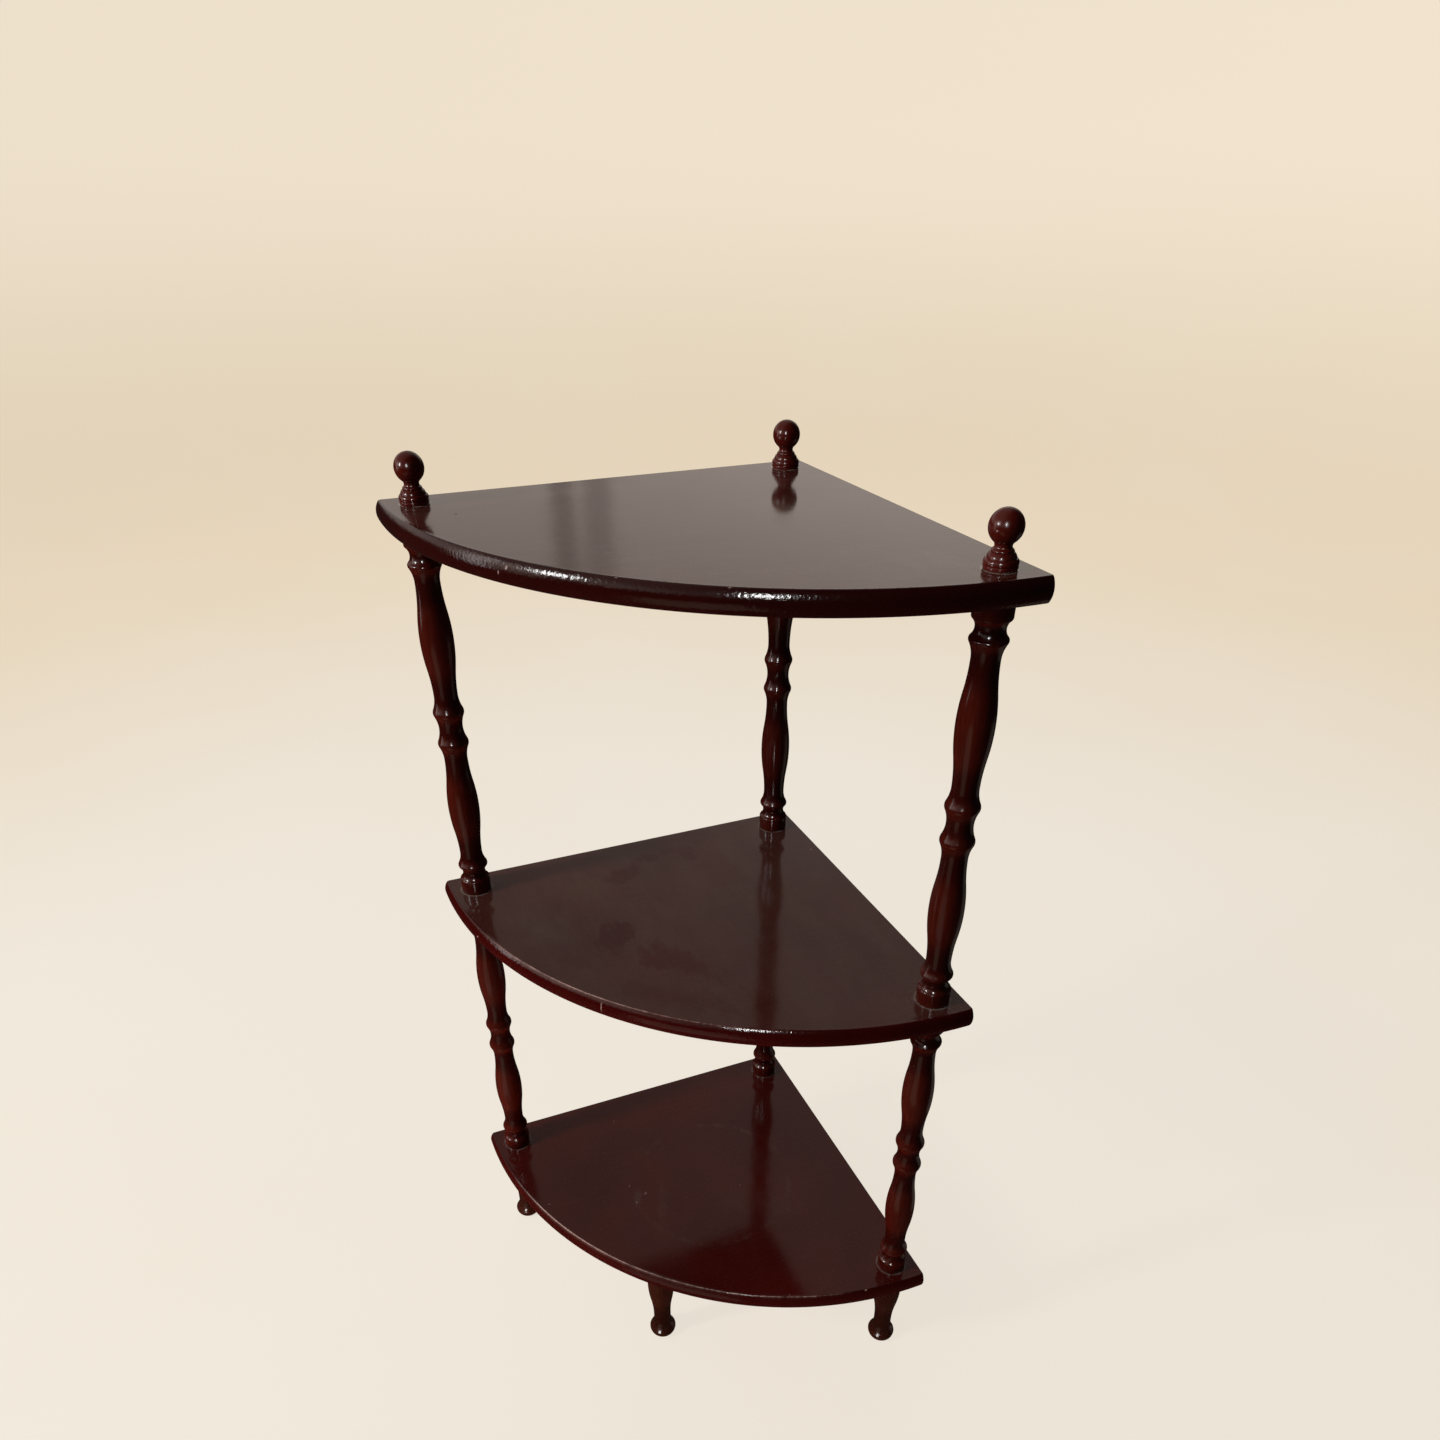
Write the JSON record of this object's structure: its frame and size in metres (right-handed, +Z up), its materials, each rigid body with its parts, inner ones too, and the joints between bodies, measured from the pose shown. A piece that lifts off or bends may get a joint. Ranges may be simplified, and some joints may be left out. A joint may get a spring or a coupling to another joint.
{
  "type": "corner shelf",
  "caption": "Free-standing corner shelf with quarter-round tiers on turned spindles, ball finials and turned feet, screwed together through the boards.",
  "frame": {"origin": "on the floor, under the middle of the square that the boards lie in", "axes": "+Z up; the walls' corner is at +X +Y, one straight side of the boards lies along X at +Y and the other along Y at +X, and the bowed front faces -X -Y"},
  "size_m": [0.33, 0.33, 0.7749],
  "materials": {
    "board_lacquer": "dark red-brown stain under high-gloss lacquer, worn pale along the front edge",
    "turning_lacquer": "red-brown stain under high-gloss lacquer",
    "bolt_steel": "zinc plated",
    "insert_brass": "plain turned"
  },
  "bodies": {
    "root": {"top_shelf": "board_lacquer", "middle_shelf": "board_lacquer", "bottom_shelf": "board_lacquer", "upper_left_spindle": "turning_lacquer", "upper_right_spindle": "turning_lacquer", "upper_back_spindle": "turning_lacquer", "lower_left_spindle": "turning_lacquer", "lower_right_spindle": "turning_lacquer", "lower_back_spindle": "turning_lacquer", "left_finial": "turning_lacquer", "right_finial": "turning_lacquer", "back_finial": "turning_lacquer", "left_foot": "turning_lacquer", "right_foot": "turning_lacquer", "back_foot": "turning_lacquer", "front_foot": "turning_lacquer", "left_finial_bolt": "bolt_steel", "right_finial_bolt": "bolt_steel", "back_finial_bolt": "bolt_steel", "upper_left_spindle_bolt": "bolt_steel", "upper_right_spindle_bolt": "bolt_steel", "upper_back_spindle_bolt": "bolt_steel", "lower_left_spindle_bolt": "bolt_steel", "lower_right_spindle_bolt": "bolt_steel", "lower_back_spindle_bolt": "bolt_steel", "front_foot_bolt": "bolt_steel", "upper_left_spindle_insert": "insert_brass", "upper_right_spindle_insert": "insert_brass", "upper_back_spindle_insert": "insert_brass", "lower_left_spindle_insert": "insert_brass", "lower_right_spindle_insert": "insert_brass", "lower_back_spindle_insert": "insert_brass", "left_foot_insert": "insert_brass", "right_foot_insert": "insert_brass", "back_foot_insert": "insert_brass", "bottom_shelf_insert": "insert_brass"}
  },
  "joints": []
}
